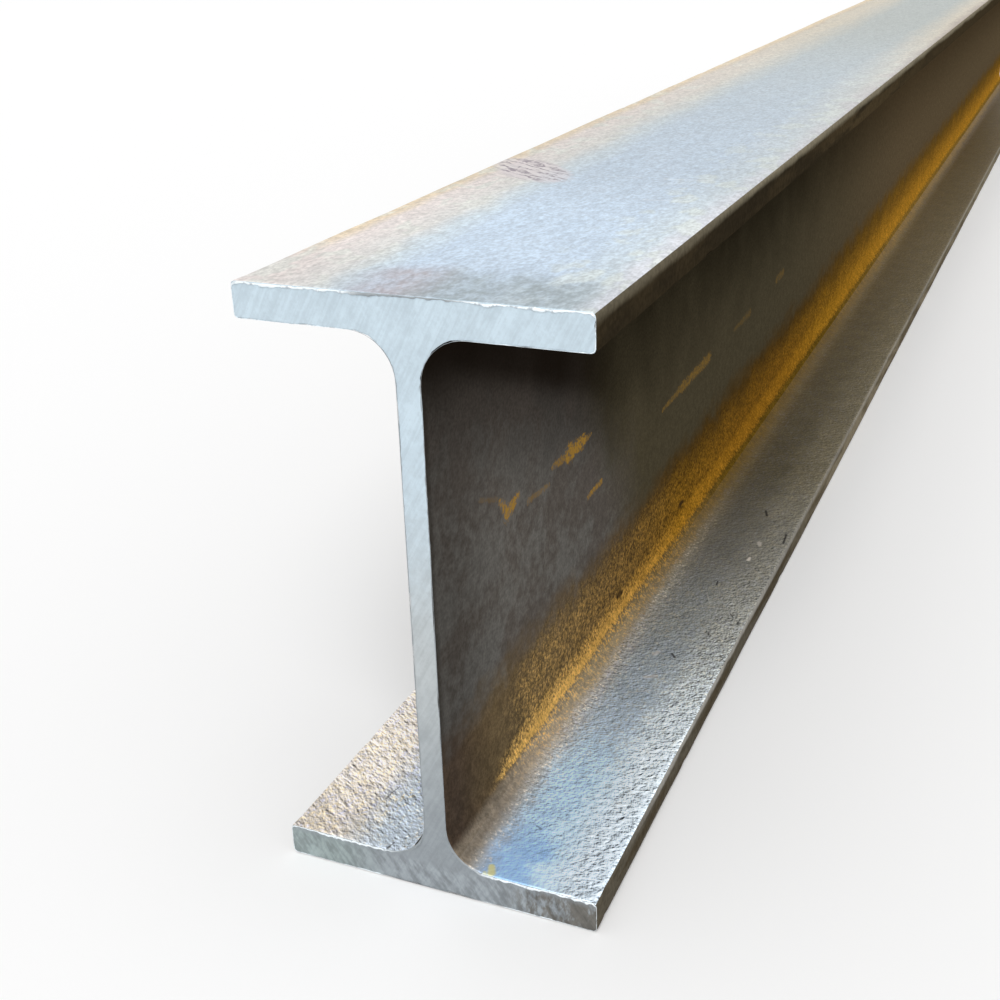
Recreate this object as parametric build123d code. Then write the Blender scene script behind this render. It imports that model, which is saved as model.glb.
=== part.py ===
"""A one metre length of hot rolled steel I beam with parallel flanges, sawn square at both ends.

The beam lies along X and stands on its lower flange, with the web upright. The origin is on
the underside of the lower flange, under the web and halfway along the beam. Y runs across
the flanges and +Z points up the web. Sizes are in millimetres.
"""
import os

from build123d import *

# The rolled section
depth = 100.0             # over the outer faces of the two flanges
flange_width = 55.0       # from toe to toe
flange_thickness = 5.7    # the same from root to toe, because the flanges are parallel
web_thickness = 4.1
root_radius = 7.0         # the hollow where the web runs into each flange
toe_radius = 0.8          # the corners that the rolls leave along the flange toes

# The saw cut
cut_length = 1000.0       # one piece of stock, cut square

# Worked out from the section
web_height = depth - 2 * flange_thickness
web_face = web_thickness / 2
flange_toe = flange_width / 2
between_web_and_toe = (web_face + flange_toe) / 2


def is_root(corner):
    """Whether a corner of the section lies where the web meets a flange."""
    return abs(corner.X) < between_web_and_toe


def is_toe(corner):
    """Whether a corner of the section lies at the toe of a flange."""
    return abs(corner.X) > between_web_and_toe


def rolled_section():
    """The section seen along the beam, standing on the lower flange, at the first saw cut."""
    first_cut = Plane.YZ.offset(-cut_length / 2)
    middle_of_depth = depth / 2
    middle_of_flanges = [flange_thickness / 2, depth - flange_thickness / 2]
    with BuildSketch(first_cut) as section:
        with Locations((0, middle_of_depth)):
            Rectangle(web_thickness, web_height)
        with Locations(*[(0, middle) for middle in middle_of_flanges]):
            Rectangle(flange_width, flange_thickness)
        fillet(section.vertices().filter_by(is_root), radius=root_radius)
        fillet(section.vertices().filter_by(is_toe), radius=toe_radius)
    return section.sketch


def i_beam():
    """The whole beam: the section drawn out to the second saw cut, as one solid."""
    return extrude(rolled_section(), amount=cut_length)


os.makedirs("parts", exist_ok=True)
export_step(i_beam(), "parts/i_beam.step")
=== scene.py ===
"""Dresses a metre of hot rolled steel I beam: its rolled skin, its rusty roots and its sawn ends.

Lengths are in metres, in the part's own frame. X runs along the beam from the end that shows
in front, Y across the flanges and Z up the web, from the underside of the lower flange.
Colours are written as they look, from 0 to 255.
"""

import logging
import math
from collections.abc import Iterator
from dataclasses import dataclass, field
from enum import Enum

import bpy
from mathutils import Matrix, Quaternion, Vector


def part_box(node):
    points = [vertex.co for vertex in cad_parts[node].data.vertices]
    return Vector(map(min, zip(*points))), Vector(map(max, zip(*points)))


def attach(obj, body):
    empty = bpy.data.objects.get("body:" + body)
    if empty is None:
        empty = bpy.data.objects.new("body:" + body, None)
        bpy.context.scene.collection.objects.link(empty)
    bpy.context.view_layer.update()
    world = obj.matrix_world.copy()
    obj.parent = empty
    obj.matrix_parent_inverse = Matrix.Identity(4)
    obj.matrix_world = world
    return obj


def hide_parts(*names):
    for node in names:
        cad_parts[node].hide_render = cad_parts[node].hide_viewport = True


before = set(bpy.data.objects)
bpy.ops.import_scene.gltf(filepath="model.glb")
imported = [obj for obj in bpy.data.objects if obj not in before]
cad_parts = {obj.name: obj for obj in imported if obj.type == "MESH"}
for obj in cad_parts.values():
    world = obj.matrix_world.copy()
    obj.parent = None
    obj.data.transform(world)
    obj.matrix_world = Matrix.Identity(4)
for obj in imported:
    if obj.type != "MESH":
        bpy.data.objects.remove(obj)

log = logging.getLogger("steel_i_beam")

MM = 0.001
NODE = "i_beam"

Socket = bpy.types.NodeSocket
Value = Socket | float | tuple[float, ...]
Shade = tuple[int, int, int]
Point = tuple[Vector, Vector]


def linear(shade: Shade) -> tuple[float, float, float, float]:
    """Turns a colour as it looks into the linear light that a shader takes.

    Args:
        shade: Red, green and blue from 0 to 255.

    Returns:
        Linear red, green and blue, and an alpha of 1.
    """
    share = [part / 255 for part in shade]
    light = [s / 12.92 if s <= 0.04045 else ((s + 0.055) / 1.055) ** 2.4 for s in share]
    return (*light, 1.0)


def direction(azimuth: float, elevation: float) -> Vector:
    """Works out a direction.

    Args:
        azimuth: Its turn from +X towards +Y, in degrees.
        elevation: Its rise over the floor, in degrees.

    Returns:
        A vector of length 1.
    """
    turn, rise = math.radians(azimuth), math.radians(elevation)
    level = math.cos(rise)
    return Vector((level * math.cos(turn), level * math.sin(turn), math.sin(rise)))


def stood(name: str, data: bpy.types.ID) -> bpy.types.Object:
    """Stands an object in the scene.

    Args:
        name: Its name.
        data: Its mesh, camera or lamp.

    Returns:
        The object.
    """
    thing = bpy.data.objects.new(name, data)
    bpy.context.scene.collection.objects.link(thing)
    return thing


def turn_to(thing: bpy.types.Object, way: Vector, roll: float = 0.0) -> None:
    """Turns a camera or a lamp.

    Args:
        thing: The camera or lamp.
        way: Where it looks.
        roll: How far it tilts about that line, in degrees.
    """
    thing.rotation_mode = "QUATERNION"
    thing.rotation_quaternion = Quaternion(way, math.radians(roll)) @ way.to_track_quat("-Z", "Y")


class Kind(Enum):
    """What a socket of a node group carries."""

    FLOAT = "NodeSocketFloat"
    WHOLE = "NodeSocketInt"
    VECTOR = "NodeSocketVector"
    COLOUR = "NodeSocketColor"
    GEOMETRY = "NodeSocketGeometry"
    MATERIAL = "NodeSocketMaterial"


class Axis(Enum):
    """The axis that a flat face looks along."""

    ACROSS = "Y"
    UP = "Z"


class Sketch:
    """Adds nodes to one tree and wires them, so that each step of a pattern is one call."""

    def __init__(self, tree: bpy.types.NodeTree) -> None:
        """Keeps the tree that the nodes go into."""
        self.tree = tree

    def feed(self, socket: Socket, value: Value) -> None:
        """Links a socket to another one, or sets it to a plain value.

        Args:
            socket: The input to fill.
            value: The output that it gets its value from, or the value.
        """
        if isinstance(value, Socket):
            self.tree.links.new(value, socket)
        else:
            socket.default_value = value

    def add(self, kind: str, feeds: dict[int | str, Value] | None = None, **settings) -> bpy.types.Node:
        """Adds one node.

        Args:
            kind: The node's type name.
            feeds: What goes into its inputs, by name or number.
            **settings: The node's own properties.

        Returns:
            The new node.
        """
        node = self.tree.nodes.new(kind)
        for name, value in settings.items():
            setattr(node, name, value)
        for key, value in (feeds or {}).items():
            self.feed(node.inputs[key], value)
        return node

    def math(self, operation: str, *values: Value, clamp: bool = False) -> Socket:
        """Works out one arithmetic step and returns its result."""
        feeds = dict(enumerate(values))
        return self.add("ShaderNodeMath", feeds, operation=operation, use_clamp=clamp).outputs[0]

    def plus(self, first: Value, second: Value) -> Socket:
        """Returns the sum of two numbers."""
        return self.math("ADD", first, second)

    def minus(self, first: Value, second: Value) -> Socket:
        """Returns the first number less the second."""
        return self.math("SUBTRACT", first, second)

    def rest(self, share: Value) -> Socket:
        """Returns what a share leaves of 1."""
        return self.math("SUBTRACT", 1.0, share)

    def larger(self, first: Value, second: Value) -> Socket:
        """Returns the larger of two numbers."""
        return self.math("MAXIMUM", first, second)

    def magnitude(self, value: Value) -> Socket:
        """Returns a number without its sign."""
        return self.math("ABSOLUTE", value)

    def mixed(self, share: float, first: Value, second: Value) -> Socket:
        """Returns a share of one pattern, with the rest taken from another."""
        return self.plus(self.both(first, share), self.both(second, 1 - share))

    def vector(self, operation: str, *values: Value) -> Socket:
        """Works out one step on vectors and returns its vector."""
        return self.add("ShaderNodeVectorMath", dict(enumerate(values)), operation=operation).outputs[0]

    def measured(self, operation: str, *values: Value) -> Socket:
        """Works out one step on vectors and returns its number."""
        feeds = dict(enumerate(values))
        return self.add("ShaderNodeVectorMath", feeds, operation=operation).outputs["Value"]

    def scaled(self, vector: Value, factor: Value) -> Socket:
        """Returns a vector times a number."""
        node = self.add("ShaderNodeVectorMath", {0: vector, "Scale": factor}, operation="SCALE")
        return node.outputs[0]

    def parts(self, vector: Value) -> tuple[Socket, Socket, Socket]:
        """Returns a vector's X, Y and Z."""
        return tuple(self.add("ShaderNodeSeparateXYZ", {0: vector}).outputs)

    def joined(self, x: Value, y: Value, z: Value) -> Socket:
        """Returns the vector with these three parts."""
        return self.add("ShaderNodeCombineXYZ", {0: x, 1: y, 2: z}).outputs[0]

    def rising(self, value: Value, low: Value, high: Value) -> Socket:
        """Returns 0 up to low, 1 from high on, and a smooth step between."""
        feeds = {"Value": value, "From Min": low, "From Max": high}
        return self.add("ShaderNodeMapRange", feeds, interpolation_type="SMOOTHSTEP").outputs[0]

    def falling(self, value: Value, low: Value, high: Value) -> Socket:
        """Returns 1 up to low, 0 from high on, and a smooth step between."""
        return self.rest(self.rising(value, low, high))

    def eased(self, value: Value, low: float, high: float, first: float, last: float) -> Socket:
        """Returns first up to low, last from high on, and a smooth step between."""
        return self.level(first, last, self.rising(value, low, high))

    def both(self, *masks: Value) -> Socket:
        """Lets several masks work together.

        Args:
            *masks: The masks or factors.

        Returns:
            Their product.
        """
        product = masks[0]
        for mask in masks[1:]:
            product = self.math("MULTIPLY", product, mask)
        return product

    def level(self, low: float, high: float, share: Value) -> Socket:
        """Returns a number between low and high, by a share from 0 to 1."""
        return self.math("MULTIPLY_ADD", share, high - low, low)

    def blend_value(self, share: Value, low: Value, high: Value) -> Socket:
        """Returns low where the share is 0 and high where it is 1, for values that vary."""
        return self.math("MULTIPLY_ADD", self.math("SUBTRACT", high, low), share, low)

    def shaken(self, value: Value, cloud: Value, reach: float) -> Socket:
        """Returns a value moved up and down by a cloud, by half of reach each way."""
        return self.math("ADD", value, self.math("MULTIPLY_ADD", cloud, reach, -reach / 2))

    def blend(self, share: Value, under: Value, over: Value, how: str = "MIX") -> Socket:
        """Lays one colour over another.

        Args:
            share: How much of the upper colour shows, from 0 to 1.
            under: The lower colour, from a socket or as it looks.
            over: The upper colour, likewise.
            how: The way that the two mix.

        Returns:
            The mixed colour.
        """
        lower, upper = (linear(colour) if isinstance(colour, tuple) else colour for colour in (under, over))
        feeds = {"Factor": share, 6: lower, 7: upper}
        return self.add("ShaderNodeMix", feeds, data_type="RGBA", blend_type=how).outputs[2]

    def ramp(self, value: Value, stops: tuple[tuple[float, Shade], ...]) -> Socket:
        """Turns a value into a colour.

        Args:
            value: The value.
            stops: Places on its way, in rising order, with their colours.

        Returns:
            The colour, blended between those of the stops beside the value.
        """
        low, high = stops[0][0], stops[-1][0]
        share = self.add("ShaderNodeMapRange", {"Value": value, "From Min": low, "From Max": high})
        node = self.add("ShaderNodeValToRGB", {0: share.outputs[0]})
        elements = node.color_ramp.elements
        elements.remove(elements[-1])
        elements[0].color = linear(stops[0][1])
        for place, shade in stops[1:]:
            elements.new((place - low) / (high - low)).color = linear(shade)
        return node.outputs[0]

    def shaded(self, colour: Value, shade: Value) -> Socket:
        """Returns a colour with its light times a number."""
        return self.blend(1.0, colour, self.joined(shade, shade, shade), "MULTIPLY")

    def stretched(self, vector: Value, scale: tuple[float, float, float]) -> Socket:
        """Returns a place with each direction scaled, so that a pattern on it runs long or short."""
        return self.vector("MULTIPLY", vector, scale)

    def noise(self, vector: Value, size: float, detail: float = 1.0, rough: float = 0.5) -> Socket:
        """Returns a cloudy pattern from 0 to 1.

        Args:
            vector: The place.
            size: How large its clouds are, as a length.
            detail: How many finer layers it has.
            rough: How strong the finer layers are.

        Returns:
            The pattern's value.
        """
        feeds = {"Vector": vector, "Scale": 1 / size, "Detail": detail, "Roughness": rough}
        return self.add("ShaderNodeTexNoise", feeds).outputs["Fac"]


@dataclass(frozen=True)
class Effect:
    """A shader node group that several finishes use, each with its own values."""

    name: str
    inputs: dict[str, Kind]
    outputs: dict[str, Kind]

    def start(self) -> tuple[Sketch, dict[str, Socket], dict[str, Socket]]:
        """Makes the group with its sockets.

        Returns:
            The sketch to draw in, the group's inputs by name, and the sockets for its results by name.
        """
        tree = bpy.data.node_groups.new(self.name, "ShaderNodeTree")
        for name, kind in self.inputs.items():
            tree.interface.new_socket(name, in_out="INPUT", socket_type=kind.value)
        for name, kind in self.outputs.items():
            tree.interface.new_socket(name, in_out="OUTPUT", socket_type=kind.value)
        sketch = Sketch(tree)
        entry = sketch.add("NodeGroupInput")
        leave = sketch.add("NodeGroupOutput")
        given = {name: entry.outputs[name] for name in self.inputs}
        return sketch, given, {name: leave.inputs[name] for name in self.outputs}

    def place(self, sketch: Sketch, **values: Value) -> dict[str, Socket]:
        """Puts the group into a finish.

        Args:
            sketch: The finish's sketch.
            **values: The group's inputs, with a low line for each space in a name.

        Returns:
            The group's outputs by name.
        """
        node = sketch.add("ShaderNodeGroup", node_tree=bpy.data.node_groups[self.name])
        for name, value in values.items():
            sketch.feed(node.inputs[name.replace("_", " ")], value)
        return {name: node.outputs[name] for name in self.outputs}


class Effects:
    """The effects that the beam's finishes share, each built once."""

    grain = Effect(
        "rolled grain",
        {"Place": Kind.VECTOR, "Lump": Kind.FLOAT, "Grit": Kind.FLOAT, "Towards Light": Kind.VECTOR},
        {"Height": Kind.FLOAT, "Relief": Kind.FLOAT},
    )
    band = Effect(
        "ragged band",
        {"Level": Kind.FLOAT, "Low": Kind.FLOAT, "High": Kind.FLOAT, "Fade": Kind.FLOAT,
         "Torn": Kind.FLOAT, "Rag": Kind.FLOAT},
        {"Mask": Kind.FLOAT},
    )
    stroke = Effect(
        "ragged stroke",
        {"Place": Kind.VECTOR, "From": Kind.VECTOR, "To": Kind.VECTOR, "Width From": Kind.FLOAT,
         "Width To": Kind.FLOAT, "Torn": Kind.FLOAT, "Rag": Kind.FLOAT},
        {"Mask": Kind.FLOAT},
    )
    rust = Effect(
        "root rust",
        {"Place": Kind.VECTOR, "Climb": Kind.FLOAT, "Along": Kind.FLOAT, "Strength": Kind.FLOAT},
        {"Ground": Kind.FLOAT, "Umber": Kind.COLOUR, "Specks": Kind.FLOAT, "Gold": Kind.COLOUR},
    )
    gold_near: Shade = (224, 177, 98)
    gold_middle: Shade = (202, 147, 46)
    gold_next: Shade = (184, 130, 38)
    gold_far: Shade = (198, 144, 42)
    gold_last: Shade = (212, 154, 50)
    umber_first: Shade = (74, 61, 50)
    umber_near: Shade = (106, 88, 62)
    umber_middle: Shade = (84, 62, 26)
    umber_far: Shade = (114, 85, 34)
    root_first: Shade = (132, 120, 104)
    root_near: Shade = (168, 152, 130)
    root_next: Shade = (162, 146, 116)
    root_middle: Shade = (138, 118, 80)
    root_far: Shade = (108, 85, 28)
    root_last: Shade = (142, 114, 54)
    cloud_size: float = 8.0 * MM
    spot_size: float = 2.2 * MM
    speck_size: float = 0.58 * MM

    def build(self) -> None:
        """Builds every group."""
        self._build_grain()
        self._build_band()
        self._build_stroke()
        self._build_rust()

    def _build_grain(self) -> None:
        """Lumps with finer grit on them, and how much each spot leans towards the light."""
        s, given, result = self.grain.start()
        lump = s.joined(given["Lump"], given["Lump"], given["Lump"])
        kept = s.rest(given["Grit"])
        heights = []
        for place in (given["Place"], s.vector("ADD", given["Place"], given["Towards Light"])):
            place = s.vector("DIVIDE", place, lump)
            lumps = s.noise(place, 1.0, 1.0, 0.5)
            fine = s.noise(place, 0.42, 1.5, 0.7)
            heights.append(s.plus(s.both(lumps, kept), s.both(fine, given["Grit"])))
        s.feed(result["Height"], heights[0])
        s.feed(result["Relief"], s.minus(heights[0], heights[1]))

    def _build_band(self) -> None:
        """A stripe between two levels of a coordinate, whose edges wander by a cloud and fade."""
        s, given, result = self.band.start()
        moved = s.math("MULTIPLY_ADD", s.minus(given["Torn"], 0.5), given["Rag"], given["Level"])
        in_low = s.rising(moved, s.minus(given["Low"], given["Fade"]), given["Low"])
        in_high = s.falling(moved, given["High"], s.plus(given["High"], given["Fade"]))
        s.feed(result["Mask"], s.both(in_low, in_high))

    def _build_stroke(self) -> None:
        """A mark drawn from one place to another, with a torn edge."""
        s, given, result = self.stroke.start()
        line = s.vector("SUBTRACT", given["To"], given["From"])
        to_place = s.vector("SUBTRACT", given["Place"], given["From"])
        whole = s.measured("DOT_PRODUCT", line, line)
        step = s.math("DIVIDE", s.measured("DOT_PRODUCT", to_place, line), whole, clamp=True)
        away = s.measured("DISTANCE", to_place, s.scaled(line, step))
        wider = s.minus(given["Width To"], given["Width From"])
        width = s.math("MULTIPLY_ADD", wider, step, given["Width From"])
        rag = s.both(s.minus(given["Torn"], 0.5), given["Rag"])
        share = s.plus(s.math("DIVIDE", s.math("MULTIPLY", away, 2.0), width), rag)
        s.feed(result["Mask"], s.falling(share, 0.45, 1.30))

    def _build_rust(self) -> None:
        """Rust along a root: dust that climbs the web, a solid core, and specks blown over the flange.

        The climb is 0 in the middle of the root, and grows up the web.
        """
        s, given, result = self.rust.start()
        climb, along = given["Climb"], given["Along"]
        cloud = s.noise(s.stretched(given["Place"], (0.5, 1.0, 1.0)), self.cloud_size, 2.0, 0.65)
        spot = s.noise(given["Place"], self.spot_size, 1.0)
        fine = s.noise(given["Place"], self.speck_size, 2.0, 0.68)
        torn = s.mixed(0.65, cloud, spot)
        high = s.shaken(climb, torn, 0.014)
        near_root = s.shaken(climb, torn, 0.003)
        farther = s.rising(along, 0.08, 0.20)
        dust = s.falling(high, s.level(0.0150, 0.0060, farther), 0.0250)
        dust = s.both(dust, s.level(0.22, 0.38, farther))
        shoulder_top = s.eased(along, 0.12, 0.42, 0.0080, 0.0125)
        shoulder = s.falling(near_root, s.level(0.0048, 0.0058, farther), shoulder_top)
        shoulder = s.both(shoulder, s.level(0.40, 1.05, farther))
        off_line = s.magnitude(s.minus(near_root, s.level(0.0034, 0.0048, farther)))
        line = s.both(s.falling(off_line, 0.0005, 0.0016), s.level(1.0, 0.50, farther))
        over = s.larger(s.plus(dust, s.both(shoulder, s.rest(dust))), line)
        low = s.shaken(climb, torn, 0.004)
        on_web = s.rising(near_root, 0.0012, s.level(0.0030, 0.0038, farther))
        off_web = s.rest(on_web)
        blown = s.both(off_web, s.rising(low, -0.0090, 0.0015), s.eased(along, 0.10, 0.17, 0.27, 0.14))
        first = s.eased(near_root, 0.0045, 0.0090, 0.013, 0.020)
        from_end = s.rising(s.shaken(along, torn, 0.026), first, 0.036)
        cover = s.both(s.plus(s.both(over, on_web), blown), from_end, given["Strength"])
        bar = s.level(0.69, 0.25, cover)
        soft = s.blend_value(on_web, s.level(0.10, 0.35, farther), s.level(0.25, 0.50, farther))
        specks = s.rising(fine, s.minus(bar, soft), s.plus(bar, soft))
        s.feed(result["Specks"], s.both(specks, s.rising(cover, 0.01, 0.34)))
        gold = s.ramp(along, (
            (0.055, self.gold_near), (0.130, self.gold_middle), (0.185, self.gold_next),
            (0.235, self.gold_next), (0.310, self.gold_far), (0.450, self.gold_last),
        ))
        shade = s.both(s.eased(fine, 0.30, 0.70, 0.74, 1.26), s.eased(spot, 0.3, 0.7, 0.86, 1.12))
        s.feed(result["Gold"], s.shaded(gold, shade))
        umber = s.ramp(along, (
            (0.005, self.umber_first), (0.020, self.umber_near), (0.055, self.umber_near),
            (0.125, self.umber_middle), (0.240, self.umber_middle), (0.450, self.umber_far),
        ))
        root = s.ramp(along, (
            (0.017, self.root_first), (0.032, self.root_near), (0.062, self.root_next),
            (0.110, self.root_middle), (0.165, self.root_far), (0.300, self.root_far),
            (0.450, self.root_last),
        ))
        ground = s.blend(s.falling(near_root, 0.0008, 0.0036), umber, root)
        worn = s.both(s.eased(spot, 0.3, 0.7, 0.84, 1.14), s.eased(fine, 0.3, 0.7, 0.78, 1.22))
        s.feed(result["Umber"], s.shaded(ground, worn))
        ground = s.both(s.falling(high, 0.018, 0.027), s.rising(low, -0.0050, -0.0010))
        s.feed(result["Ground"], s.both(ground, s.rising(given["Strength"], 0.0, 0.4)))


@dataclass(frozen=True)
class Section:
    """The rolled section, standing on its lower flange."""

    depth: float
    width: float
    flange: float = 5.7 * MM
    web: float = 4.1 * MM
    root: float = 7.0 * MM
    toe: float = 0.8 * MM

    @property
    def toe_face(self) -> float:
        """How far a flange's toe lies from the middle of the web."""
        return self.width / 2

    def line(self, start: Vector, end: Vector, out: Vector, step: float) -> Iterator[Point]:
        """Yields points along a flat face, without its last.

        Args:
            start: The first point.
            end: Where the face ends.
            out: The way out of the steel.
            step: About how far apart the points are.

        Yields:
            Each point with the way out of the steel.
        """
        pieces = max(1, round((end - start).length / step))
        for i in range(pieces):
            yield start.lerp(end, i / pieces), out

    def arc(
        self, centre: Vector, radius: float, start: float, pieces: int, hollow: bool,
    ) -> Iterator[Point]:
        """Yields points of a quarter turn, without its last.

        Args:
            centre: The middle of the arc.
            radius: Its radius.
            start: The angle of its first point, in degrees.
            pieces: How many chords it has.
            hollow: Whether the steel lies outside the arc, as in a root, and not inside it.

        Yields:
            Each point with the way out of the steel.
        """
        turn = 90 if hollow else -90
        for i in range(pieces):
            angle = math.radians(start + turn * i / pieces)
            spoke = Vector((math.cos(angle), math.sin(angle)))
            yield centre + spoke * radius, -spoke if hollow else spoke

    def quarter(self, step: float, toe_pieces: int, root_pieces: int) -> list[Point]:
        """Returns the outline from the middle of the top face to the middle of the web.

        Args:
            step: How far apart the points of a flat face are.
            toe_pieces: How many chords a toe's corner has.
            root_pieces: How many chords a root fillet has.

        Returns:
            Each point, measured from the section's middle, with the way out of the steel.
        """
        top, side, face = self.depth / 2, self.toe_face, self.web / 2
        under = top - self.flange
        corner = side - self.toe
        root_end = face + self.root
        up, down, out = Vector((0, 1)), Vector((0, -1)), Vector((1, 0))
        points = [
            *self.line(Vector((0, top)), Vector((corner, top)), up, step),
            *self.arc(Vector((corner, top - self.toe)), self.toe, 90, toe_pieces, False),
            *self.line(Vector((side, top - self.toe)), Vector((side, under + self.toe)), out, step / 2),
            *self.arc(Vector((corner, under + self.toe)), self.toe, 0, toe_pieces, False),
            *self.line(Vector((corner, under)), Vector((root_end, under)), down, step),
            *self.arc(Vector((root_end, under - self.root)), self.root, 90, root_pieces, True),
            *self.line(Vector((face, under - self.root)), Vector((face, 0)), out, step * 1.5),
        ]
        return [*points, (Vector((face, 0)), out)]

    def outline(self, step: float, toe_pieces: int, root_pieces: int) -> list[Point]:
        """Returns the whole outline, from the middle of the top face round to it.

        Args:
            step: How far apart the points of a flat face are.
            toe_pieces: How many chords a toe's corner has.
            root_pieces: How many chords a root fillet has.

        Returns:
            A ring of points, measured from the middle of the foot, each with the way out of the steel.
        """
        upper = self.quarter(step, toe_pieces, root_pieces)
        lower = [(Vector((p.x, -p.y)), Vector((n.x, -n.y))) for p, n in reversed(upper[:-1])]
        half = upper + lower
        other = [(Vector((-p.x, p.y)), Vector((-n.x, n.y))) for p, n in reversed(half[1:-1])]
        middle = Vector((0, self.depth / 2))
        return [(p + middle, n) for p, n in half + other]


@dataclass(frozen=True)
class Reading:
    """Where a point of the steel lies, as a finish needs it."""

    place: Socket
    sided: Socket
    along: Socket
    across: Socket
    up: Socket
    climb: Socket


@dataclass(frozen=True)
class Skin:
    """What a finish works out for each point of the steel."""

    colour: Value
    metal: Value
    rough: Value
    height: Value


@dataclass(frozen=True)
class Mark:
    """A stroke on a flat face, in millimetres, from one point to another.

    Each point is given by its way along the beam from the shown end, and by its Y or Z.
    """

    start: tuple[float, float]
    end: tuple[float, float]
    width: float
    end_width: float
    strength: float = 1.0


@dataclass(frozen=True)
class Finish:
    """One face's finish. A subclass works out its skin."""

    section: Section
    end: float
    name: str = "finish"
    gloss: float = 0.5
    left_rust: float = 0.5
    umber_share: float = 0.95

    def build(self) -> bpy.types.Material:
        """Makes the material.

        Returns:
            The finished material.
        """
        material = bpy.data.materials.new(self.name)
        material.use_nodes = True
        s = Sketch(material.node_tree)
        shader = material.node_tree.nodes["Principled BSDF"]
        skin = self.skin(s, self._read(s))
        bump = s.add("ShaderNodeBump", {"Strength": 1.0, "Distance": MM, "Height": skin.height})
        s.feed(shader.inputs["Base Color"], skin.colour)
        s.feed(shader.inputs["Metallic"], skin.metal)
        s.feed(shader.inputs["Roughness"], skin.rough)
        s.feed(shader.inputs["Normal"], bump.outputs[0])
        shader.inputs["Specular IOR Level"].default_value = self.gloss
        return material

    def skin(self, s: Sketch, at: Reading) -> Skin:
        """Works out the finish from a point's coordinates."""
        raise NotImplementedError

    def _read(self, s: Sketch) -> Reading:
        """Reads a point's coordinates.

        The climb is the way over the lower root, 0 at its middle, rising up the web and
        falling towards the toe. The sided place sets the two sides of the web far apart.

        Args:
            s: The finish's sketch.

        Returns:
            The coordinates.
        """
        place = s.add("ShaderNodeTexCoord").outputs["Object"]
        x, y, z = s.parts(place)
        out = s.minus(s.magnitude(y), self.section.web / 2)
        climb = s.minus(s.minus(z, self.section.flange), out)
        sided = s.joined(x, s.plus(y, s.math("SIGN", y)), z)
        return Reading(place, sided, s.plus(x, self.end), y, z, climb)

    def _rusted(self, s: Sketch, at: Reading, colour: Socket, gold_share: float) -> Socket:
        """Lays the root's rust over a finish, less of it on the left and none there by the shown end.

        Args:
            s: The finish's sketch.
            at: The point's coordinates.
            colour: The colour without rust.
            gold_share: How much of the golden specks shows.

        Returns:
            The colour with the rust on it.
        """
        left = s.both(s.rising(at.along, 0.03, 0.09), self.left_rust)
        strength = s.blend_value(s.math("GREATER_THAN", at.across, 0.0), 1.0, left)
        rust = Effects.rust.place(s, Place=at.sided, Climb=at.climb, Along=at.along, Strength=strength)
        colour = s.blend(s.both(rust["Ground"], self.umber_share), colour, rust["Umber"])
        return s.blend(s.both(rust["Specks"], gold_share), colour, rust["Gold"])

    def _marked(
        self, s: Sketch, at: Reading, marks: tuple[Mark, ...], face: tuple[Axis, float], torn: Socket,
        rag: float,
    ) -> Socket:
        """Draws marks on a flat face.

        Args:
            s: The finish's sketch.
            at: The point's coordinates.
            marks: The strokes.
            face: The axis that the face looks along, and its level on that axis.
            torn: A cloud that tears the strokes' edges.
            rag: How much it tears them.

        Returns:
            The mask of all the strokes.
        """
        axis, level = face
        mask: Value = 0.0
        for mark in marks:
            ends = []
            for along, aside in (mark.start, mark.end):
                x, other = along * MM - self.end, aside * MM
                ends.append((x, level, other) if axis is Axis.ACROSS else (x, other, level))
            drawn = Effects.stroke.place(
                s, Place=at.place, From=ends[0], To=ends[1], Width_From=mark.width * MM,
                Width_To=mark.end_width * MM, Torn=torn, Rag=rag,
            )["Mask"]
            mask = s.larger(mask, s.both(drawn, mark.strength))
        return mask


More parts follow.
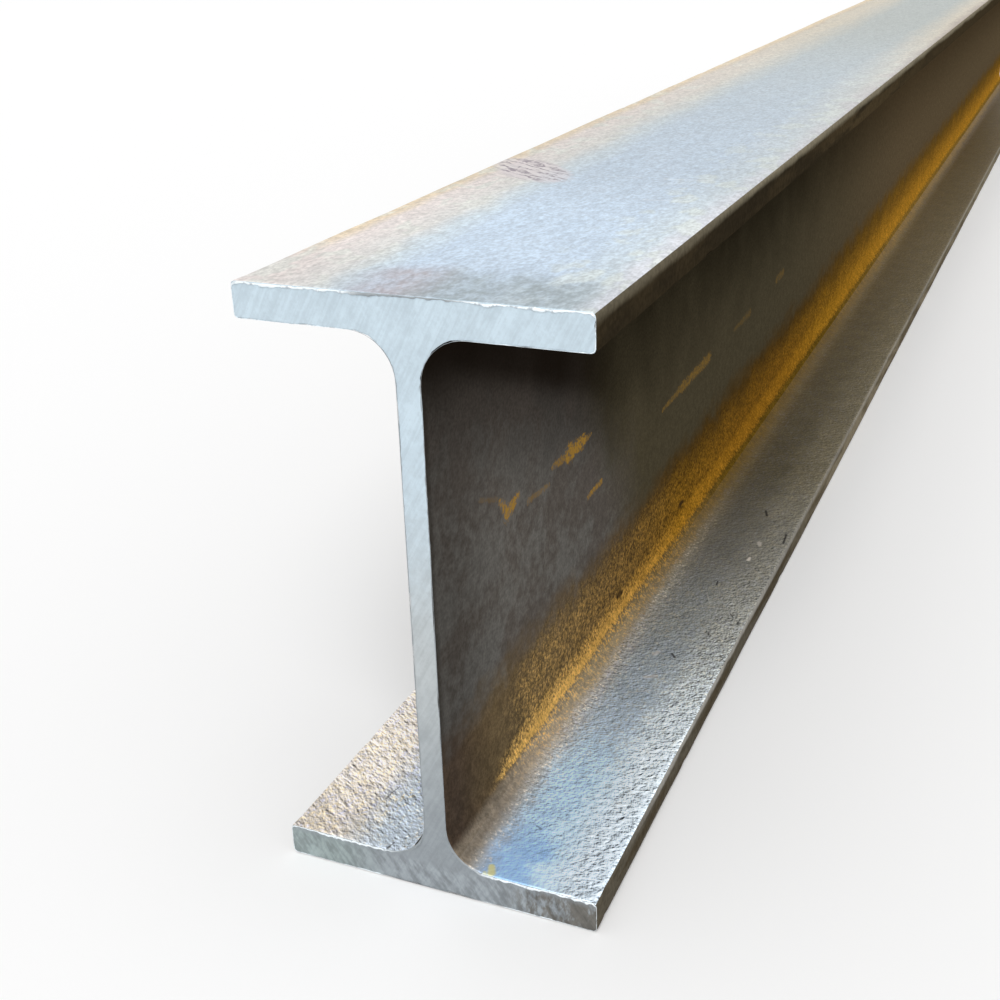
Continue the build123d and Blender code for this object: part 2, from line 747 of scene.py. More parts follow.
@dataclass(frozen=True)
class WebScale(Finish):
    """Dark scale on the web, the roots and under the top flange, with painted shade under the top flange
    and rust over the lower root.
    """

    name: str = "web scale"
    gloss: float = 0.0
    grey: Shade = (104, 101, 96)
    brown: Shade = (92, 86, 80)
    # painted shade under the top flange, near the shown end
    painted_shade: Shade = (42, 36, 31)
    olive: Shade = (80, 73, 56)
    # darker olive, painted shade towards the top flange
    shaded_olive: Shade = (37, 32, 22)
    umber: Shade = (101, 87, 65)
    # darker umber, painted shade towards the top flange
    shaded_umber: Shade = (66, 53, 35)
    shadow: Shade = (24, 18, 12)
    line: Shade = (52, 42, 30)
    stain: Shade = (170, 130, 54)
    gold_share: float = 0.95
    patch_size: float = 16.0 * MM
    spot_size: float = 2.0 * MM
    grain_size: float = 0.6 * MM
    marks: tuple[Mark, ...] = (
        Mark((18.0, 62.8), (24.5, 60.2), 0.8, 1.0, 0.15),
        Mark((25.8, 59.2), (28.3, 56.8), 1.2, 2.4, 0.8),
        Mark((28.6, 56.0), (33.4, 57.3), 2.8, 1.6, 0.9),
        Mark((37.5, 54.5), (47.0, 53.5), 1.2, 1.0, 0.36),
        Mark((49.0, 56.2), (56.0, 55.8), 1.2, 2.0, 0.6),
        Mark((56.5, 55.8), (65.0, 55.2), 3.4, 2.4),
        Mark((65.0, 55.2), (69.0, 55.2), 2.0, 0.6, 0.6),
        Mark((67.0, 43.0), (74.5, 43.2), 1.2, 1.2, 0.85),
        Mark((115.0, 43.8), (130.0, 44.2), 1.0, 1.8, 0.40),
        Mark((130.0, 44.2), (154.0, 44.0), 2.4, 2.6, 0.50),
        Mark((178.0, 44.0), (195.0, 44.2), 1.2, 2.2, 0.20),
        Mark((226.0, 45.0), (235.0, 45.2), 2.0, 2.4, 0.25),
    )
    pits: tuple[Mark, ...] = (
        Mark((85.0, 12.5), (87.5, 12.2), 1.8, 1.2, 0.8),
        Mark((50.0, 10.7), (76.0, 10.5), 0.3, 0.4, 0.7),
        Mark((131.0, 14.2), (133.5, 14.0), 1.8, 1.2, 0.8),
    )

    def skin(self, s: Sketch, at: Reading) -> Skin:
        """Scale with its painted shade first, then the stains, then the rust that climbs from the root.

        Args:
            s: The finish's sketch.
            at: The point's coordinates.

        Returns:
            The web's skin.
        """
        wide = s.noise(at.sided, self.patch_size, 3.0, 0.6)
        spot = s.noise(at.sided, self.spot_size, 2.0, 0.6)
        fine = s.noise(at.sided, self.grain_size, 1.0, 0.6)
        colour = self._scale(s, at, wide, spot, fine)
        smudge = s.mixed(0.45, spot, fine)
        stained = self._marked(s, at, self.marks, (Axis.ACROSS, -self.section.web / 2), smudge, 3.6)
        stained = s.both(stained, s.level(0.10, 0.95, s.falling(smudge, 0.44, 0.62)))
        colour = s.blend(stained, colour, self.stain)
        colour = self._rusted(s, at, colour, self.gold_share)
        pitted = self._marked(s, at, self.pits, (Axis.ACROSS, -self.section.web / 2), spot, 0.8)
        colour = s.blend(pitted, colour, self.line)
        near_root = s.level(0.04, 0.12, s.falling(at.climb, 0.010, 0.024))
        return Skin(colour, 0.0, s.level(0.70, 0.92, wide), s.both(fine, near_root))

    def _scale(self, s: Sketch, at: Reading, wide: Socket, spot: Socket, fine: Socket) -> Socket:
        """Works out the colour of the bare scale with its painted shade: darker towards the top flange,
        with a painted shadow of the flange's toe slanting over the web and a dark line along the shown end.

        Args:
            s: The finish's sketch.
            at: The point's coordinates.
            wide: Its large clouds.
            spot: Its small clouds.
            fine: Its grain.

        Returns:
            The scale's colour.
        """
        patchy = s.mixed(0.8, wide, spot)
        far_off = s.rising(at.along, 0.14, 0.40)
        high = s.blend_value(far_off, s.shaken(at.up, patchy, 0.030), s.shaken(at.up, patchy, 0.006))
        low = s.blend(s.rising(patchy, 0.40, 0.60), self.brown, self.grey)
        # painted shadow: near the shown end the web turns to the painted shade colour above a line that
        # slants down along the beam
        shadow_slope = s.math("MULTIPLY_ADD", at.along, 0.38, high)
        near = s.blend(s.rising(shadow_slope, 0.066, 0.100), low, self.painted_shade)
        # further along, the web darkens towards the top flange, painted shade
        middle = s.blend(s.rising(high, 0.036, 0.082), self.olive, self.shaded_olive)
        far = s.blend(s.rising(high, 0.036, 0.090), self.umber, self.shaded_umber)
        slant = s.math("MULTIPLY_ADD", s.minus(at.up, 0.05), 0.55, s.shaken(at.along, patchy, 0.030))
        colour = s.blend(s.rising(slant, 0.062, 0.094), near, middle)
        colour = s.blend(s.rising(at.along, 0.20, 0.50), colour, far)
        shade = s.both(s.eased(spot, 0.30, 0.70, 0.90, 1.12), s.eased(fine, 0.3, 0.7, 0.88, 1.14))
        shade = s.both(shade, s.eased(at.along, 0.003, 0.032, 0.62, 1.0))
        colour = s.shaded(colour, shade)
        # painted shadow of the top flange's toe, a band slanting down along the beam near the shown end;
        # edge adds painted shade just below the top flange and a dark line along the shown end, all in the
        # shadow colour
        under = s.rising(s.math("MULTIPLY_ADD", at.along, 0.38, at.up), 0.0870, 0.0925)
        under = s.both(under, s.level(0.0, 0.85, s.falling(at.along, 0.050, 0.090)))
        edge = s.larger(s.rising(at.up, 0.080, 0.092), s.both(s.falling(at.along, 0.0006, 0.0022), 0.6))
        edge = s.larger(edge, under)
        return s.blend(s.both(edge, 0.85), colour, self.shadow)


@dataclass(frozen=True)
class FlangeScale(Finish):
    """Silver scale with a hammered grain on the upper face of the lower flange, the lumps' light and shade
    painted into its colour.
    """

    name: str = "flange scale"
    gloss: float = 0.05
    # near the shown end silver, slate and the pale toe shades are partly the scale's colour and partly
    # painted sky reflection
    silver: Shade = (193, 221, 242)
    slate: Shade = (173, 190, 206)
    grey: Shade = (147, 152, 151)
    taupe: Shade = (116, 115, 108)
    brown: Shade = (93, 87, 70)
    far_brown: Shade = (110, 99, 74)
    end_brown: Shade = (98, 84, 54)
    toe_first: Shade = (206, 220, 232)
    toe_silver: Shade = (226, 240, 250)
    toe_slate: Shade = (214, 225, 231)
    toe_grey: Shade = (166, 168, 163)
    toe_taupe: Shade = (139, 138, 130)
    toe_brown: Shade = (116, 109, 90)
    # painted sky reflection on the smooth patch by the shown end
    blue: Shade = (156, 194, 236)
    beige_first: Shade = (150, 146, 140)
    beige: Shade = (174, 168, 158)
    tan: Shade = (150, 143, 124)
    far_tan: Shade = (113, 97, 64)
    last_tan: Shade = (124, 107, 68)
    end_tan: Shade = (102, 82, 44)
    cream: Shade = (234, 225, 214)
    first_cream: Shade = (210, 201, 190)
    cool: Shade = (187, 198, 208)
    yellow: Shade = (244, 222, 170)
    violet: Shade = (200, 204, 234)
    pit: Shade = (44, 42, 42)
    spark: Shade = (240, 232, 150)
    gold_share: float = 0.72
    patch_size: float = 7.0 * MM
    spot_size: float = 2.2 * MM
    glint_size: float = 0.7 * MM
    lump: float = 1.0 * MM
    grit: float = 0.48
    towards_light: tuple[float, float, float] = (0.26 * MM, 0.08 * MM, 0.0)
    ridge_turn: float = 41.0
    ripple_turn: float = -32.0
    pits: tuple[Mark, ...] = (
        Mark((76.2, -17.2), (77.5, -16.3), 0.7, 0.5),
        Mark((87.5, -21.2), (88.4, -21.0), 0.6, 0.5),
        Mark((94.0, -25.8), (95.2, -25.6), 0.8, 0.5),
        Mark((96.5, -24.2), (98.0, -23.2), 0.4, 0.4),
        Mark((79.5, -26.0), (80.2, -25.8), 0.5, 0.5),
        Mark((110.0, -16.9), (112.0, -16.7), 0.5, 0.4),
        Mark((136.0, -26.2), (141.0, -25.8), 0.6, 0.5),
        Mark((150.0, -19.0), (153.0, -18.0), 0.8, 0.6),
        Mark((14.5, -12.5), (15.0, -11.5), 0.5, 0.4, 0.6),
        Mark((46.0, -13.0), (46.6, -12.4), 0.5, 0.4, 0.6),
        Mark((0.1, 9.3), (2.4, 8.8), 0.5, 0.3, 0.7),
        Mark((12.8, 15.7), (14.6, 15.6), 0.6, 0.3, 0.7),
        Mark((14.6, 15.6), (16.6, 15.1), 0.3, 0.3, 0.7),
    )
    lights: tuple[Mark, ...] = (
        Mark((124.5, -20.6), (125.8, -20.6), 1.0, 0.8),
        Mark((133.0, -21.2), (134.5, -20.8), 1.0, 1.2, 0.5),
        Mark((60.0, -12.5), (62.5, -16.5), 0.4, 0.5, 0.5),
        Mark((66.8, -14.0), (68.0, -15.8), 1.0, 1.2, 0.5),
        Mark((76.0, -13.0), (77.0, -13.5), 1.2, 1.0, 0.5),
        Mark((100.5, -18.0), (108.0, -15.0), 0.3, 0.3, 0.4),
        Mark((98.5, -16.0), (106.0, -20.5), 0.3, 0.3, 0.4),
    )
    sparks: tuple[Mark, ...] = (
        Mark((1.1, -9.3), (2.7, -8.7), 1.6, 1.1, 0.8),
        Mark((0.6, -8.4), (0.9, -8.3), 1.0, 0.8, 0.5),
    )

    def skin(self, s: Sketch, at: Reading) -> Skin:
        """Hammered silver that turns grey and then brown along the beam, with painted light and shade on
        its lumps, a painted sky reflection near the shown end and rust blown off the root.

        Args:
            s: The finish's sketch.
            at: The point's coordinates.

        Returns:
            The flange's skin.
        """
        patch = s.noise(at.sided, self.patch_size, 2.0, 0.6)
        spot = s.noise(at.sided, self.spot_size, 1.0)
        left = s.math("GREATER_THAN", at.across, 0.0)
        out = s.math("MULTIPLY", at.climb, -1.0)
        torn = s.mixed(0.6, patch, spot)
        by_root = s.falling(s.shaken(out, torn, 0.007), 0.0028, 0.0090)
        colour = self._base(s, at, out, torn, left, by_root)
        colour = self._tinted(s, at, colour, spot, left, by_root)
        smooth = s.eased(s.plus(s.shaken(out, torn, 0.010), at.along), 0.012, 0.030, 0.35, 1.0)
        smooth = s.larger(smooth, left)
        height, relief = self._hammered(s, at, left)
        rough = s.level(1.0, 1.65, s.both(s.rising(out, 0.0155, 0.0215), s.rest(left)))
        bold = s.both(s.eased(at.along, 0.05, 0.16, 1.0, 0.45), smooth, rough)
        # painted light and shade of the lumps: relief, where a spot leans towards the light, lightens it,
        # and height darkens the hollows; bold sets how strong
        painted_lump_shade = s.math("MULTIPLY_ADD", relief, 3.6, s.math("MULTIPLY_ADD", height, 1.4, -0.70))
        # bright is painted light, lifting the right side near the shown end
        bright = s.level(1.24, 1.02, s.larger(s.rising(at.along, 0.030, 0.090), left))
        shade = s.both(s.math("MULTIPLY_ADD", painted_lump_shade, bold, bright), s.eased(patch, 0.3, 0.7, 0.93, 1.08))
        colour = s.shaded(colour, shade)
        colour = self._rusted(s, at, colour, self.gold_share)
        face = (Axis.UP, self.section.flange)
        pitted = self._marked(s, at, self.pits, face, spot, 0.6)
        colour = s.blend(s.both(pitted, 0.85), colour, self.pit)
        lit = self._marked(s, at, self.lights, face, spot, 0.9)
        colour = s.blend(s.both(lit, 0.80), colour, self.cream)
        sparkling = self._marked(s, at, self.sparks, face, spot, 0.5)
        colour = s.blend(sparkling, colour, self.spark)
        fading = s.eased(at.along, 0.05, 0.20, 0.16, 0.10)
        return Skin(colour, s.eased(at.along, 0.03, 0.12, 0.40, 0.0), 0.5, s.both(height, smooth, fading))

    def _base(
        self, s: Sketch, at: Reading, out: Socket, torn: Socket, left: Socket, by_root: Socket,
    ) -> Socket:
        """Works out the colour before the grain: pale by the toe, beige by the root, cream on the left,
        with a painted sky reflection by the shown end.

        Args:
            s: The finish's sketch.
            at: The point's coordinates.
            out: The way over the root towards the toe.
            torn: A cloud that tears the edges.
            left: 1 on the left of the web and 0 on its right.
            by_root: The mask of the strip by the root.

        Returns:
            The colour, without grain.
        """
        farther = s.shaken(at.along, torn, 0.016)
        inner = s.ramp(farther, (
            (0.032, self.silver), (0.047, self.slate), (0.088, self.grey), (0.125, self.taupe),
            (0.178, self.brown), (0.450, self.far_brown), (0.700, self.end_brown),
        ))
        outer = s.ramp(farther, (
            (0.014, self.toe_first), (0.030, self.toe_silver), (0.050, self.toe_slate),
            (0.088, self.toe_grey), (0.115, self.toe_taupe), (0.180, self.toe_brown),
            (0.450, self.far_brown), (0.700, self.end_brown),
        ))
        colour = s.blend(s.rising(s.shaken(out, torn, 0.006), 0.0130, 0.0215), inner, outer)
        colour = self._painted_sky_reflection(s, at, colour, out, torn, left)
        edge = s.ramp(at.along, (
            (0.017, self.beige_first), (0.032, self.beige), (0.065, self.beige), (0.110, self.tan),
            (0.165, self.far_tan), (0.300, self.far_tan), (0.450, self.last_tan), (0.700, self.end_tan),
        ))
        colour = s.blend(s.both(by_root, 0.9), colour, edge)
        cream = s.blend(s.rising(farther, 0.004, 0.018), self.first_cream, self.cream)
        warm = s.blend(s.rising(s.shaken(out, torn, 0.008), 0.009, 0.018), self.cool, cream)
        return s.blend(s.both(left, s.falling(at.along, 0.10, 0.35)), colour, warm)

    def _hammered(self, s: Sketch, at: Reading, left: Socket) -> tuple[Socket, Socket]:
        """Works out the grain: short ripples across the right, slanted ridges on the left.

        Args:
            s: The finish's sketch.
            at: The point's coordinates.
            left: 1 on the left of the web and 0 on its right.

        Returns:
            The height, and how much each spot leans towards the light.
        """
        turn = s.level(math.radians(self.ripple_turn), math.radians(self.ridge_turn), left)
        feeds = {"Vector": at.sided, "Angle": turn}
        turned = s.add("ShaderNodeVectorRotate", feeds, rotation_type="Z_AXIS").outputs[0]
        place = s.vector("MULTIPLY", turned, s.joined(1.0, s.level(0.80, 0.45, left), 1.0))
        grain = Effects.grain.place(
            s, Place=place, Lump=self.lump, Grit=self.grit, Towards_Light=self.towards_light,
        )
        return grain["Height"], grain["Relief"]

    def _painted_sky_reflection(
        self, s: Sketch, at: Reading, colour: Socket, out: Socket, torn: Socket, left: Socket,
    ) -> Socket:
        """Paints the sky's blue reflection on the smooth patch by the shown end.

        Args:
            s: The finish's sketch.
            at: The point's coordinates.
            colour: The colour so far.
            out: The way over the root towards the toe.
            torn: A cloud that tears the edges.
            left: 1 on the left of the web and 0 on its right.

        Returns:
            The colour with the painted reflection.
        """
        between = Effects.band.place(
            s, Level=out, Low=0.0062, High=0.0118, Fade=0.004, Torn=torn, Rag=0.016,
        )["Mask"]
        fading = s.level(0.0, 0.30, s.falling(at.along, 0.016, 0.050))
        first = s.both(s.falling(s.shaken(at.along, torn, 0.024), 0.006, 0.020), 0.65)
        share = s.both(between, s.plus(fading, first), s.rest(left))
        return s.blend(share, colour, self.blue)

    def _tinted(
        self, s: Sketch, at: Reading, colour: Socket, spot: Socket, left: Socket, by_root: Socket
    ) -> Socket:
        """Lays yellow and violet glints over the lumps, strongest on the left, and pale flecks by the root.

        Args:
            s: The finish's sketch.
            at: The point's coordinates.
            colour: The colour so far.
            spot: A small cloud.
            left: 1 on the left of the web and 0 on its right.
            by_root: The mask of the strip by the root.

        Returns:
            The colour with its glints.
        """
        glint = s.noise(at.sided, self.glint_size, 1.0, 0.6)
        mixed = s.mixed(0.7, glint, spot)
        near = s.level(0.06, 0.17, s.falling(at.along, 0.07, 0.14))
        near = s.both(near, s.eased(at.along, 0.012, 0.040, 0.35, 1.0))
        aside = s.eased(s.plus(at.across, at.along), 0.014, 0.030, 0.18, 0.52)
        strong = s.larger(near, s.both(left, aside))
        colour = s.blend(s.both(s.rising(mixed, 0.53, 0.64), strong), colour, self.yellow)
        colour = s.blend(s.both(s.falling(mixed, 0.36, 0.47), strong), colour, self.violet)
        flecks = s.both(s.rising(glint, 0.58, 0.68), by_root, s.falling(at.along, 0.09, 0.17), 0.6)
        return s.blend(flecks, colour, self.cream)


@dataclass(frozen=True)
class TopSheen(Finish):
    """The top face: pale blue, partly painted sky reflection, with straw, pink and lilac bands towards the
    toes.
    """

    name: str = "top sheen"
    # pale blue, partly the scale's colour and partly painted sky reflection
    blue: Shade = (195, 213, 231)
    steel: Shade = (202, 216, 225)
    pale: Shade = (218, 217, 214)
    pink: Shade = (228, 218, 214)
    straw: Shade = (226, 204, 164)
    lilac: Shade = (219, 222, 229)
    cloud: Shade = (216, 222, 214)
    far_middle: Shade = (163, 170, 167)
    far_side: Shade = (196, 187, 168)
    far_toe: Shade = (166, 153, 138)
    front: Shade = (162, 176, 183)
    front_side: Shade = (186, 181, 188)
    scuff: Shade = (212, 202, 205)
    scuff_line: Shade = (112, 100, 112)
    glare: Shade = (255, 255, 255)
    wander_size: float = 10.0 * MM
    patch_size: float = 5.5 * MM
    spot_size: float = 1.4 * MM
    grain_size: float = 0.6 * MM
    scuff_along: float = 89.5 * MM
    scuff_aside: float = 17.5 * MM
    scuff_lean: float = 0.74
    scuff_half_width: float = 8.6 * MM
    scuff_half_length: float = 10.8 * MM
    scuff_pitch: float = 2.6 * MM
    scratches: tuple[Mark, ...] = (
        Mark((68.0, -12.0), (68.3, -20.0), 0.5, 0.4, 0.5),
        Mark((82.0, -11.0), (83.5, -16.5), 0.5, 0.4, 0.5),
        Mark((86.8, -10.0), (87.2, -19.0), 0.6, 0.4, 0.7),
        Mark((86.5, 1.0), (86.8, -6.0), 0.4, 0.3, 0.4),
        Mark((126.0, -6.0), (126.6, -20.0), 0.4, 0.4, 0.4),
    )

    def skin(self, s: Sketch, at: Reading) -> Skin:
        """The bands first, then the grey patch by the sawn end, the grain and the scuff.

        Args:
            s: The finish's sketch.
            at: The point's coordinates.

        Returns:
            The top's skin.
        """
        wander = s.noise(s.stretched(at.place, (0.15, 1.0, 1.0)), self.wander_size, 2.0, 0.6)
        drawn = s.stretched(at.place, (0.6, 1.0, 1.0))
        patch = s.noise(drawn, self.patch_size, 2.0, 0.6)
        spot = s.noise(drawn, self.spot_size, 2.0, 0.65)
        fine = s.noise(drawn, self.grain_size, 1.0, 0.65)
        torn = s.mixed(0.5, wander, patch)
        y = s.shaken(at.across, torn, 0.010)
        # the near middle is pale blue, partly painted sky reflection, that fades along the beam into the
        # distant colours
        near = s.ramp(y, (
            (-0.027, self.lilac), (-0.023, self.steel), (-0.016, self.blue), (0.006, self.blue),
            (0.011, self.steel), (0.016, self.pale), (0.022, self.pink),
        ))
        distant = s.ramp(y, (
            (-0.0272, self.far_toe), (-0.024, self.far_side), (-0.014, self.far_middle),
            (0.006, self.far_middle), (0.018, self.far_side), (0.0225, self.far_side),
            (0.0255, self.far_toe),
        ))
        colour = s.blend(s.rising(at.along, 0.02, 0.42), near, distant)
        straw = s.rising(s.shaken(at.across, torn, 0.004), 0.0225, 0.0262)
        colour = s.blend(s.both(straw, s.rising(at.along, 0.010, 0.034), 0.8), colour, self.straw)
        clouds = s.both(s.rising(patch, 0.50, 0.62), s.rising(s.magnitude(at.across), 0.008, 0.020), 0.55)
        colour = s.blend(s.both(clouds, s.falling(at.along, 0.10, 0.40)), colour, self.cloud)
        colour = self._front(s, at, colour, torn, patch, spot)
        shade = s.both(s.eased(spot, 0.30, 0.70, 0.89, 1.07), s.eased(fine, 0.25, 0.75, 0.84, 1.14))
        farther = s.both(s.rising(at.along, 0.05, 0.09), s.falling(at.along, 0.12, 0.32))
        shade = s.both(shade, s.level(0.96, 1.03, patch), s.level(1.0, 0.86, farther))
        shade = s.both(shade, s.eased(at.along, 0.008, 0.026, 0.91, 1.0))
        colour = s.shaded(colour, shade)
        scratched = self._marked(s, at, self.scratches, (Axis.UP, self.section.depth), patch, 0.5)
        colour = s.blend(s.both(scratched, 0.5), colour, self.glare)
        colour, scuffed = self._scuff(s, at, colour, spot)
        height = s.minus(s.both(spot, 0.10), s.both(scuffed, 0.04))
        return Skin(colour, 0.5, s.level(0.34, 0.50, patch), height)

    def _front(
        self, s: Sketch, at: Reading, colour: Socket, torn: Socket, patch: Socket, spot: Socket,
    ) -> Socket:
        """Lays the mottled grey patch by the sawn end, mauve on its left side.

        Args:
            s: The finish's sketch.
            at: The point's coordinates.
            colour: The colour so far.
            torn: A cloud that tears the edges.
            patch: A cloud that mottles it.
            spot: A smaller cloud.

        Returns:
            The colour with the patch on it.
        """
        reach = Effects.band.place(
            s, Level=at.along, Low=-0.001, High=0.0095, Fade=0.008, Torn=torn, Rag=0.018,
        )["Mask"]
        within = s.falling(s.shaken(at.across, torn, 0.008), 0.002, 0.014)
        within = s.both(within, s.rising(at.across, -0.0275, -0.022))
        mottled = s.eased(s.mixed(0.6, patch, spot), 0.58, 0.42, 0.60, 1.0)
        mauve = s.rising(s.shaken(at.across, patch, 0.008), -0.006, 0.004)
        tone = s.blend(mauve, self.front, self.front_side)
        return s.blend(s.both(reach, within, mottled), colour, tone)

    def _scuff(self, s: Sketch, at: Reading, colour: Socket, torn: Socket) -> tuple[Socket, Socket]:
        """Lays the slanted scuff near the left toe, with dark lines along it that crowd its two sides.

        Args:
            s: The finish's sketch.
            at: The point's coordinates.
            colour: The colour so far.
            torn: A cloud that tears the edges.

        Returns:
            The colour with the scuff on it, and the mask of its lines.
        """
        aside = s.minus(at.across, self.scuff_aside)
        over = s.minus(s.math("MULTIPLY_ADD", aside, -self.scuff_lean, at.along), self.scuff_along)
        wide = s.math("DIVIDE", over, self.scuff_half_width)
        long = s.math("DIVIDE", aside, self.scuff_half_length)
        inside = s.falling(s.shaken(s.plus(s.both(wide, wide), s.both(long, long)), torn, 0.9), 0.60, 1.15)
        hatch = s.noise(s.joined(over, s.both(at.across, 0.45), 0.0), self.scuff_pitch, 2.0, 0.6)
        turns = s.math("MULTIPLY_ADD", hatch, 17.0, s.both(over, 2 * math.pi / self.scuff_pitch))
        wave = s.math("SINE", turns)
        lines = s.both(s.rising(wave, -0.25, 0.55), s.eased(torn, 0.42, 0.56, 0.20, 1.0), inside)
        colour = s.blend(s.both(inside, 0.60), colour, self.scuff)
        return s.blend(s.both(lines, 0.85), colour, self.scuff_line), lines


@dataclass(frozen=True)
class ToeScale(Finish):
    """The brown edges of the flanges."""

    name: str = "toe scale"
    gloss: float = 0.0
    dark: Shade = (45, 39, 29)
    brown: Shade = (72, 61, 43)
    # painted highlight along the top toe's rounded upper edge
    edge: Shade = (132, 124, 105)
    grey: Shade = (96, 90, 78)
    tan: Shade = (138, 128, 108)
    # painted highlight along the lower toe's upper corner
    rim_highlight: Shade = (166, 163, 156)
    streak_size: float = 3.0 * MM
    grain_size: float = 0.9 * MM

    def skin(self, s: Sketch, at: Reading) -> Skin:
        """Brown scale with long rubbed streaks, a painted highlight along its upper edge, and paler on the
        lower flange, with a painted highlight along that toe's top corner.

        Args:
            s: The finish's sketch.
            at: The point's coordinates.

        Returns:
            The toes' skin.
        """
        streak = s.noise(s.stretched(at.sided, (0.12, 1.0, 1.0)), self.streak_size, 2.0, 0.6)
        grain = s.noise(at.sided, self.grain_size, 1.5, 0.6)
        browner = s.both(s.eased(streak, 0.38, 0.62, 0.25, 1.0), s.eased(at.along, 0.08, 0.20, 0.35, 1.0))
        browner = s.blend_value(s.rising(at.along, 0.18, 0.40), browner, 0.62)
        colour = s.blend(browner, self.dark, self.brown)
        top = self.section.depth
        # painted highlight along the rounded upper edge of the top toe
        upper = s.rising(s.shaken(at.up, streak, 0.0016), top - 0.0022, top - 0.0007)
        colour = s.blend(s.both(upper, s.eased(at.along, 0.03, 0.10, 0.50, 0.95)), colour, self.edge)
        low = s.falling(at.up, 0.02, 0.03)
        below = s.blend(s.rising(at.along, 0.11, 0.22), self.grey, self.tan)
        below = s.blend(s.both(s.rising(streak, 0.42, 0.64), 0.6), below, self.brown)
        # painted highlight along the upper corner of the lower toe
        rim_highlight = s.rising(s.shaken(at.up, streak, 0.0014), 0.0038, 0.0049)
        rim_highlight = s.both(rim_highlight, s.rising(at.along, 0.010, 0.040))
        below = s.blend(s.both(rim_highlight, s.eased(at.along, 0.08, 0.18, 0.95, 0.45)), below, self.rim_highlight)
        colour = s.blend(low, colour, below)
        colour = s.shaded(colour, s.eased(grain, 0.3, 0.7, 0.85, 1.12))
        return Skin(colour, 0.0, 0.7, s.both(grain, 0.12))


@dataclass(frozen=True)
class UnderScale(Finish):
    """The face that the beam stands on."""

    name: str = "under scale"
    grey: Shade = (132, 130, 126)
    brown: Shade = (104, 94, 82)
    rubbed: Shade = (176, 178, 178)
    patch_size: float = 30.0 * MM
    drag_size: float = 1.0 * MM
    lump: float = 1.1 * MM
    grit: float = 0.4

    def skin(self, s: Sketch, at: Reading) -> Skin:
        """Grey and brown scale, rubbed bright along the beam.

        Args:
            s: The finish's sketch.
            at: The point's coordinates.

        Returns:
            The foot's skin.
        """
        wide = s.noise(at.place, self.patch_size, 3.0, 0.6)
        drag = s.noise(s.stretched(at.place, (0.03, 1.0, 1.0)), self.drag_size, 1.5, 0.6)
        grain = Effects.grain.place(s, Place=at.place, Lump=self.lump, Grit=self.grit)["Height"]
        colour = s.blend(s.rising(wide, 0.38, 0.62), self.grey, self.brown)
        colour = s.blend(s.both(s.rising(drag, 0.56, 0.68), 0.6), colour, self.rubbed)
        return Skin(colour, 0.45, s.level(0.42, 0.58, wide), s.both(grain, 0.12))


@dataclass(frozen=True)
class SawnFace(Finish):
    """Bare steel that the saw has left, with fine slanted lines."""

    name: str = "sawn face"
    bright: Shade = (192, 208, 218)
    middle: Shade = (180, 186, 188)
    dull: Shade = (143, 150, 155)
    green: Shade = (144, 158, 156)
    stain: Shade = (92, 87, 78)
    spot_size: float = 3.0 * MM
    frost_size: float = 0.6 * MM
    line_size: float = 0.5 * MM
    streak_size: float = 1.4 * MM
    mottle_size: float = 1.2 * MM
    line_slant: float = 62.0
    mottle_slant: float = -58.0

    def skin(self, s: Sketch, at: Reading) -> Skin:
        """Pale at the top and dull at the foot, with saw lines and stains by the right toe.

        Args:
            s: The finish's sketch.
            at: The point's coordinates.

        Returns:
            The sawn face's skin.
        """
        spot = s.noise(at.place, self.spot_size, 2.0, 0.6)
        frost = s.noise(at.place, self.frost_size, 1.5, 0.7)
        turned = self._leaned(s, at.place, self.line_slant)
        lines = s.noise(s.stretched(turned, (1.0, 0.05, 1.0)), self.line_size, 1.5, 0.65)
        level = s.shaken(at.up, spot, 0.010)
        colour = s.blend(s.falling(level, 0.042, 0.078), self.bright, self.middle)
        colour = s.blend(s.falling(level, 0.008, 0.046), colour, self.dull)
        foot = s.falling(at.up, 0.0040, 0.0060)
        colour = s.blend(s.both(foot, s.rising(at.across, 0.008, 0.020), 0.7), colour, self.green)
        upright = s.noise(s.stretched(at.place, (1.0, 1.0, 0.45)), self.streak_size, 3.0, 0.7)
        by_toe = s.both(s.falling(at.across, -0.0260, -0.0190), 0.16)
        streaks = s.rising(s.plus(upright, by_toe), 0.40, 0.62)
        worn = s.both(foot, s.falling(at.across, -0.018, -0.010), streaks)
        colour = s.blend(s.both(worn, 0.85), colour, self.stain)
        texture = s.mixed(0.6, lines, frost)
        shade = s.both(s.eased(texture, 0.38, 0.62, 0.94, 1.05), s.eased(spot, 0.3, 0.7, 0.95, 1.04))
        leaned = self._leaned(s, at.place, self.mottle_slant)
        mottled = s.noise(s.stretched(leaned, (1.0, 0.35, 1.0)), self.mottle_size, 2.5, 0.65)
        shade = s.both(shade, s.blend_value(foot, 1.0, s.eased(mottled, 0.34, 0.64, 0.78, 1.20)))
        colour = s.shaded(colour, shade)
        return Skin(colour, 0.35, s.level(0.42, 0.55, spot), s.both(texture, 0.05))

    def _leaned(self, s: Sketch, place: Socket, slant: float) -> Socket:
        """Returns a place turned about the beam by some degrees."""
        turn = (math.radians(slant), 0.0, 0.0)
        return s.add("ShaderNodeMapping", {"Vector": place, "Rotation": turn}).outputs[0]


